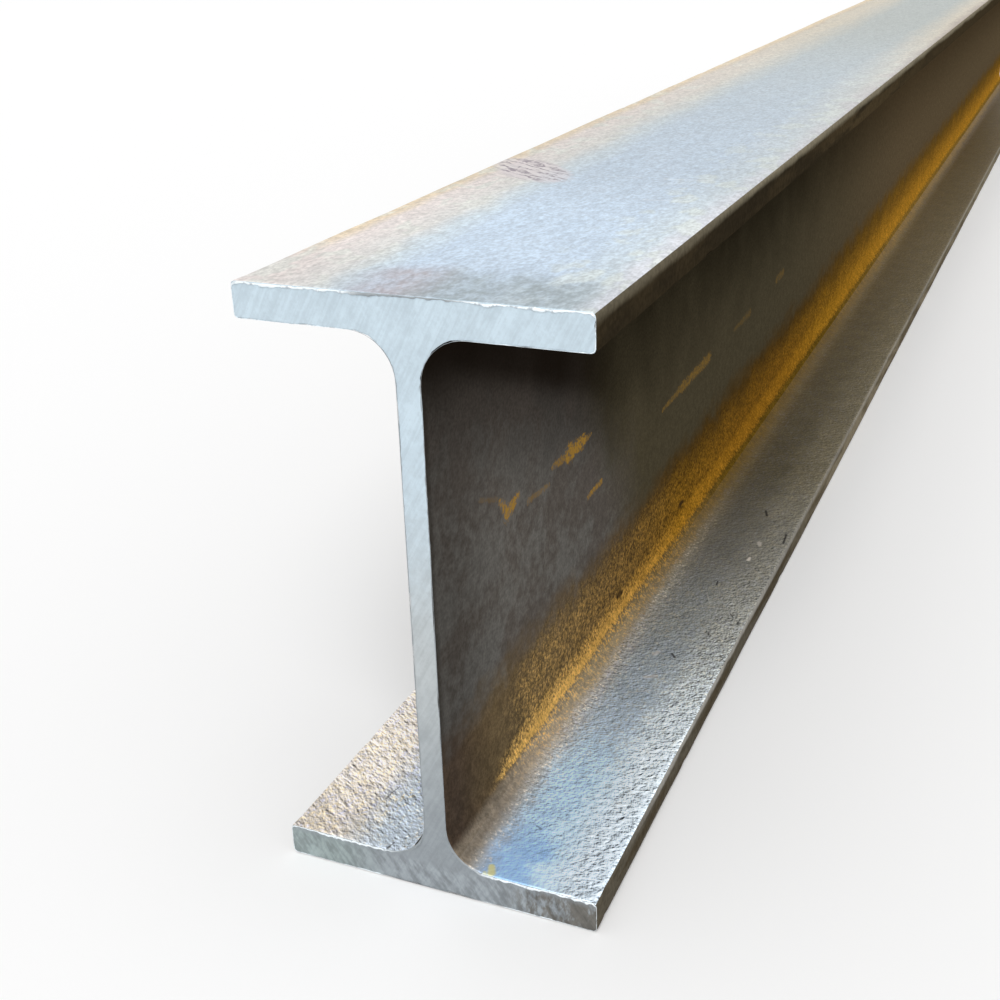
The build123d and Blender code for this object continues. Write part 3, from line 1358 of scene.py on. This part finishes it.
@dataclass(frozen=True)
class FreshBurr(Finish):
    """The bright torn steel along a sawn edge, its white partly a painted highlight."""

    name: str = "fresh burr"
    # near white, partly a painted highlight along the edge
    bright: Shade = (238, 246, 250)
    dull: Shade = (186, 194, 200)
    grey: Shade = (128, 134, 138)
    spot_size: float = 0.8 * MM

    def skin(self, s: Sketch, at: Reading) -> Skin:
        """White steel, partly a painted highlight, with duller spots, and painted shade that greys it in
        the root hollows and along the web.

        Args:
            s: The finish's sketch.
            at: The point's coordinates.

        Returns:
            The burr's skin.
        """
        torn = s.noise(at.place, self.spot_size, 1.5, 0.6)
        colour = s.blend(s.rising(torn, 0.5, 0.7), self.bright, self.dull)
        # painted shade: grey in the root hollows and along the web
        shade_by_web = s.falling(s.magnitude(at.across), 0.0060, 0.0105)
        colour = s.blend(s.both(shade_by_web, 0.85), colour, self.grey)
        return Skin(colour, 0.4, s.level(0.28, 0.45, torn), s.both(torn, 0.06))


@dataclass
class RolledLength:
    """The beam itself: the section swept along the beam, cut at both ends, with its burr."""

    section: Section
    length: float
    name: str = "rolled_i_beam"
    stations: int = 380
    flat_step: float = 2.2 * MM
    toe_pieces: int = 4
    root_pieces: int = 10
    recess: float = 0.45 * MM
    cut_inset: float = 0.55 * MM
    chip: float = 0.30 * MM
    wave: float = 0.14 * MM
    nick: float = 0.45 * MM
    burr: float = 0.36 * MM
    burr_step: float = 0.4 * MM
    burr_sides: int = 5
    flat_rings: float = 2.0
    end_crowding: float = 0.86
    facing: float = 0.70
    seed: float = 7.0
    inputs: dict[str, str] = field(default_factory=dict)

    def sizes(self) -> dict[str, tuple[Kind, float]]:
        """Returns what each size of the node tree is called, with its kind and its value."""
        return {
            "Length": (Kind.FLOAT, self.length), "Stations": (Kind.WHOLE, self.stations),
            "Recess": (Kind.FLOAT, self.recess), "Cut Inset": (Kind.FLOAT, self.cut_inset),
            "Chip": (Kind.FLOAT, self.chip), "Wave": (Kind.FLOAT, self.wave),
            "Nick": (Kind.FLOAT, self.nick), "Burr": (Kind.FLOAT, self.burr),
            "Burr Step": (Kind.FLOAT, self.burr_step), "Seed": (Kind.FLOAT, self.seed),
        }

    def outline_mesh(self) -> bpy.types.Mesh:
        """Makes the outline as a ring of edges that keeps each point's place and its way out of the steel.

        Returns:
            The mesh of the outline.
        """
        ring = self.section.outline(self.flat_step, self.toe_pieces, self.root_pieces)
        count = len(ring)
        mesh = bpy.data.meshes.new("section outline")
        edges = [(i, (i + 1) % count) for i in range(count)]
        mesh.from_pydata([(p.x, p.y, 0.0) for p, _ in ring], edges, [])
        for name, values in (("place", [p for p, _ in ring]), ("outward", [n for _, n in ring])):
            attribute = mesh.attributes.new(name, "FLOAT_VECTOR", "POINT")
            attribute.data.foreach_set("vector", [part for v in values for part in (0.0, v.x, v.y)])
        return mesh

    def tree(self, finishes: list[str]) -> bpy.types.NodeTree:
        """Builds the node tree that sweeps, cuts and dresses the outline.

        Args:
            finishes: The names of the faces that get a finish of their own.

        Returns:
            The tree, whose inputs are set on the modifier.
        """
        tree = bpy.data.node_groups.new("rolled length", "GeometryNodeTree")
        wanted = {"Outline": Kind.GEOMETRY} | {name: kind for name, (kind, _) in self.sizes().items()}
        wanted |= {name: Kind.MATERIAL for name in finishes}
        for name, kind in wanted.items():
            socket = tree.interface.new_socket(name, in_out="INPUT", socket_type=kind.value)
            self.inputs[name] = socket.identifier
        tree.interface.new_socket("Steel", in_out="OUTPUT", socket_type=Kind.GEOMETRY.value)
        s = Sketch(tree)
        given = s.add("NodeGroupInput").outputs
        cut = s.minus(s.math("MULTIPLY", given["Length"], 0.5), given["Recess"])
        profile = s.add("GeometryNodeMeshToCurve", {"Mesh": given["Outline"]}).outputs[0]
        steel = self._swept(s, given, profile, cut)
        burrs = [self._burr(s, given, profile, cut, side) for side in (-1.0, 1.0)]
        joined = s.add("GeometryNodeJoinGeometry")
        for part in (steel, *burrs):
            s.feed(joined.inputs[0], part)
        smooth = s.add("GeometryNodeSetShadeSmooth", {"Geometry": joined.outputs[0]})
        whole = s.add("GeometryNodeRealizeInstances", {"Geometry": smooth.outputs[0]}).outputs[0]
        for name, here in self._zones(s).items():
            feeds = {"Geometry": whole, "Selection": here, "Material": given[name]}
            whole = s.add("GeometryNodeSetMaterial", feeds).outputs[0]
        s.feed(s.add("NodeGroupOutput").inputs[0], whole)
        return tree

    def _zones(self, s: Sketch) -> dict[str, Socket]:
        """Works out where each finish goes, later ones over earlier ones.

        Args:
            s: The node tree's sketch.

        Returns:
            The mask of each face, by its name.
        """
        ring = self._named(s, "ring", "FLOAT")
        _, out_y, out_z = s.parts(self._named(s, "outward", "FLOAT_VECTOR"))
        _, y, z = s.parts(s.add("GeometryNodeInputPosition").outputs[0])
        upper = s.math("GREATER_THAN", z, self.section.depth / 2)
        lower = s.math("LESS_THAN", z, self.section.depth / 2)
        faces_up = s.math("GREATER_THAN", out_z, self.facing)
        by_toe = s.math("GREATER_THAN", s.magnitude(y), self.section.toe_face / 2)
        return {
            "Web": s.math("GREATER_THAN", ring, self.flat_rings),
            "Flange": s.both(faces_up, lower),
            "Top": s.both(faces_up, upper),
            "Toe": s.both(s.math("GREATER_THAN", s.magnitude(out_y), self.facing), by_toe),
            "Under": s.both(s.math("LESS_THAN", out_z, -self.facing), lower),
            "Sawn": s.math("COMPARE", ring, 1.0, 1.0),
            "Torn": s.math("LESS_THAN", ring, -0.5),
        }

    def _named(self, s: Sketch, name: str, kind: str) -> Socket:
        """Returns a stored value of the geometry."""
        return s.add("GeometryNodeInputNamedAttribute", {"Name": name}, data_type=kind).outputs[0]

    def _stored(self, s: Sketch, geometry: Socket, name: str, value: Value) -> Socket:
        """Stores a number on each point of the geometry."""
        feeds = {"Geometry": geometry, "Name": name, "Value": value}
        return s.add("GeometryNodeStoreNamedAttribute", feeds, data_type="FLOAT", domain="POINT").outputs[0]

    def _swept(self, s: Sketch, given: dict[str, Socket], profile: Socket, cut: Socket) -> Socket:
        """Sweeps the outline from cut to cut, closer together near the cuts, and wears its faces down.

        Args:
            s: The node tree's sketch.
            given: The tree's inputs.
            profile: The outline as a curve.
            cut: How far the cuts lie from the middle.

        Returns:
            The steel without its burrs.
        """
        line = s.add("GeometryNodeMeshLine", {"Count": given["Stations"], "Offset": (0.001, 0.0, 0.0)})
        numbered = self._stored(s, line.outputs[0], "station", s.add("GeometryNodeInputIndex").outputs[0])
        path = s.add("GeometryNodeMeshToCurve", {"Mesh": numbered}).outputs[0]
        feeds = {"Curve": path, "Profile Curve": profile, "Fill Caps": True}
        tube = s.add("GeometryNodeCurveToMesh", feeds).outputs[0]
        tube = s.add("GeometryNodeFlipFaces", {"Mesh": tube}).outputs[0]
        station = self._named(s, "station", "FLOAT")
        last = s.minus(given["Stations"], 1.0)
        tube = self._stored(s, tube, "ring", s.math("MINIMUM", station, s.minus(last, station)))
        ring = self._named(s, "ring", "FLOAT")
        spans = s.minus(last, 2 * self.flat_rings)
        step = s.math("DIVIDE", s.minus(station, self.flat_rings), spans, clamp=True)
        even = s.math("MULTIPLY_ADD", step, 2.0, -1.0)
        crowded = s.math("SINE", s.math("MULTIPLY", even, math.pi / 2))
        spread = s.plus(s.both(even, 1 - self.end_crowding), s.both(crowded, self.end_crowding))
        place = s.vector(
            "ADD", self._named(s, "place", "FLOAT_VECTOR"), s.joined(s.both(spread, cut), 0.0, 0.0),
        )
        outward = self._named(s, "outward", "FLOAT_VECTOR")
        inward = self._wear(s, given, place, outward, ring)
        feeds = {"Geometry": tube, "Position": s.vector("SUBTRACT", place, s.scaled(outward, inward))}
        return s.add("GeometryNodeSetPosition", feeds).outputs[0]

    def _wear(
        self, s: Sketch, given: dict[str, Socket], place: Socket, outward: Socket, ring: Socket,
    ) -> Socket:
        """Works out how far each point lies inside the true section.

        The cut edge is broken, its down-facing side is chipped, the faces are never quite
        flat, and the toes have knocks.

        Args:
            s: The node tree's sketch.
            given: The tree's inputs.
            place: The point on the true section.
            outward: The way out of the steel.
            ring: How many rings lie between the point and the nearer cut.

        Returns:
            The depth of the wear.
        """
        flat = self.flat_rings
        to_edge = s.math("SUBTRACT", 1.0, s.math("DIVIDE", ring, flat + 1), clamp=True)
        inset = s.both(to_edge, to_edge, given["Cut Inset"])
        moved = s.vector("ADD", place, s.joined(given["Seed"], 0.0, 0.0))
        chipped = s.both(
            s.falling(ring, flat, flat + 4), s.rising(s.noise(moved, 0.0016, 1.0), 0.35, 0.75),
            s.falling(s.parts(outward)[2], -0.2, 0.5), given["Chip"],
        )
        away = s.rising(ring, flat + 1, flat + 8)
        sink = s.both(s.rising(s.noise(moved, 0.045, 2.0), 0.3, 0.75), given["Wave"])
        toe_face = self.section.toe_face
        toe = s.rising(s.magnitude(s.parts(place)[1]), toe_face - 0.0012, toe_face)
        knocks = s.both(s.rising(s.noise(moved, 0.009, 2.0), 0.60, 0.78), given["Nick"], toe)
        rest = s.both(away, s.plus(sink, knocks))
        return s.plus(s.plus(inset, chipped), rest)

    def _burr(
        self, s: Sketch, given: dict[str, Socket], profile: Socket, cut: Socket, side: float,
    ) -> Socket:
        """Runs a torn bead round one cut edge, thickest on the edges that face up.

        Args:
            s: The node tree's sketch.
            given: The tree's inputs.
            profile: The outline as a curve.
            cut: How far the cuts lie from the middle.
            side: -1 for the shown end and 1 for the far one.

        Returns:
            The bead.
        """
        place = self._named(s, "place", "FLOAT_VECTOR")
        outward = self._named(s, "outward", "FLOAT_VECTOR")
        x = s.both(cut, side)
        at_cut = s.vector("ADD", place, s.joined(x, 0.0, 0.0))
        ring = s.add("GeometryNodeSetPosition", {"Geometry": profile, "Position": at_cut}).outputs[0]
        fine = s.add(
            "GeometryNodeResampleCurve", {"Curve": ring, "Length": given["Burr Step"]}, mode="LENGTH",
        )
        here = s.add("GeometryNodeInputPosition").outputs[0]
        moved = s.vector("ADD", here, s.joined(given["Seed"], 0.0, 0.0))
        facing_up = s.eased(s.parts(outward)[2], -0.1, 0.6, 0.30, 1.0)
        clumps = s.rising(s.noise(moved, 0.0045, 2.0, 0.6), 0.30, 0.70)
        torn = s.rising(s.noise(moved, 0.0009, 1.0), 0.25, 0.75)
        share = s.both(s.level(0.30, 1.0, clumps), s.level(0.45, 1.0, torn))
        radius = s.both(given["Burr"], facing_up, share)
        inward = s.scaled(outward, s.math("MULTIPLY_ADD", radius, -1.15, -0.00008))
        sunk = s.add("GeometryNodeSetPosition", {"Geometry": fine.outputs[0], "Offset": inward}).outputs[0]
        sunk = self._stored(s, sunk, "thick", radius)
        feeds = {"Resolution": self.burr_sides, "Radius": 1.0}
        circle = s.add("GeometryNodeCurvePrimitiveCircle", feeds).outputs[0]
        feeds = {"Curve": sunk, "Profile Curve": circle, "Scale": self._named(s, "thick", "FLOAT")}
        bead = s.add("GeometryNodeCurveToMesh", feeds).outputs[0]
        return self._stored(s, bead, "ring", -1.0)

    def build(self, finishes: dict[str, bpy.types.Material]) -> bpy.types.Object:
        """Makes the beam as one plain mesh.

        Args:
            finishes: The material of each face, by the face's name.

        Returns:
            The beam, at the origin, with its place in its mesh.
        """
        source = stood("section outline", self.outline_mesh())
        modifier = source.modifiers.new("rolled length", "NODES")
        modifier.node_group = self.tree(list(finishes))
        values = {name: value for name, (_, value) in self.sizes().items()} | finishes
        for name, value in values.items():
            modifier[self.inputs[name]] = value
        graph = bpy.context.evaluated_depsgraph_get()
        mesh = bpy.data.meshes.new_from_object(source.evaluated_get(graph), depsgraph=graph)
        mesh.name = self.name
        for spare in ("place", "outward", "station", "ring", "thick"):
            if spare in mesh.attributes:
                mesh.attributes.remove(mesh.attributes[spare])
        bpy.data.objects.remove(source)
        return stood(self.name, mesh)


@dataclass(frozen=True)
class Camera:
    """Where the photo was taken from, measured from the shown end's middle on the floor."""

    back: float = 0.15655
    aside: float = -0.08349
    up: float = 0.14820
    azimuth: float = 24.095
    elevation: float = -23.921
    roll: float = 1.880
    focal_length: float = 48.84
    nearest: float = 5.0 * MM

    def build(self, end: float) -> None:
        """Makes the scene's camera.

        Args:
            end: How far the shown end lies from the part's origin.
        """
        data = bpy.data.cameras.new("camera")
        data.lens = self.focal_length
        data.clip_start = self.nearest
        camera = stood("camera", data)
        camera.location = (-end - self.back, self.aside, self.up)
        turn_to(camera, direction(self.azimuth, self.elevation), self.roll)
        bpy.context.scene.camera = camera


@dataclass(frozen=True)
class Lamp:
    """A soft lamp so far away that it lights the whole floor alike."""

    name: str
    azimuth: float
    elevation: float
    spread: float
    strength: float

    def build(self) -> None:
        """Hangs the lamp, which stands at its azimuth from +X towards +Y."""
        data = bpy.data.lights.new(self.name, "SUN")
        data.angle = math.radians(self.spread)
        data.energy = self.strength
        lamp = stood(self.name, data)
        lamp.location = direction(self.azimuth, self.elevation)
        turn_to(lamp, -lamp.location)


@dataclass(frozen=True)
class Studio:
    """A white floor under soft light."""

    floor_side: float = 30.0
    floor_drop: float = 0.1 * MM
    floor_shade: Shade = (250, 250, 250)
    floor_rough: float = 0.9
    sky: float = 0.45
    sky_shade: Shade = (255, 255, 255)
    lamps: tuple[Lamp, ...] = (
        Lamp("front lamp", 194.0, 45.0, 36.0, 2.0),
        Lamp("overhead lamp", 60.0, 80.0, 60.0, 0.48),
    )

    def build(self) -> None:
        """Lays the floor and lights it."""
        self._floor()
        self._sky()
        for lamp in self.lamps:
            lamp.build()
        bpy.context.scene.view_settings.view_transform = "Standard"

    def _floor(self) -> None:
        """Lays a plain floor just under the beam."""
        half = self.floor_side / 2
        mesh = bpy.data.meshes.new("floor")
        corners = [(-half, -half), (half, -half), (half, half), (-half, half)]
        mesh.from_pydata([(x, y, -self.floor_drop) for x, y in corners], [], [(0, 1, 2, 3)])
        material = bpy.data.materials.new("floor")
        material.use_nodes = True
        shader = material.node_tree.nodes["Principled BSDF"]
        shader.inputs["Base Color"].default_value = linear(self.floor_shade)
        shader.inputs["Roughness"].default_value = self.floor_rough
        shader.inputs["Specular IOR Level"].default_value = 0.0
        mesh.materials.append(material)
        floor = stood("floor", mesh)

    def _sky(self) -> None:
        """Surrounds the beam with plain light that shows as white."""
        world = bpy.data.worlds.new("studio")
        world.use_nodes = True
        s = Sketch(world.node_tree)
        light = world.node_tree.nodes["Background"]
        path = s.add("ShaderNodeLightPath").outputs
        seen = s.larger(path["Is Camera Ray"], path["Is Glossy Ray"])
        seen = s.larger(seen, path["Is Transmission Ray"])
        s.feed(light.inputs["Strength"], s.level(self.sky, 1.0, seen))
        light.inputs["Color"].default_value = linear(self.sky_shade)
        bpy.context.scene.world = world


def main() -> None:
    """Builds the beam's finishes, its mesh and the studio, in that order."""
    logging.basicConfig(level=logging.INFO, format="%(name)s: %(message)s")
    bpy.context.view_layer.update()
    low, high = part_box(NODE)
    section = Section(depth=high.z - low.z, width=high.y - low.y)
    end = high.x
    Camera().build(end)
    Effects().build()
    kinds = {
        "Web": WebScale, "Flange": FlangeScale, "Top": TopSheen, "Toe": ToeScale,
        "Under": UnderScale, "Sawn": SawnFace, "Torn": FreshBurr,
    }
    finishes = {face: kind(section, end).build() for face, kind in kinds.items()}
    beam = RolledLength(section, high.x - low.x).build(finishes)
    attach(beam, "root")
    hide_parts(NODE)
    log.info("%s: %d points, %d faces", beam.name, len(beam.data.vertices), len(beam.data.polygons))
    Studio().build()


if __name__ == "__main__":
    main()
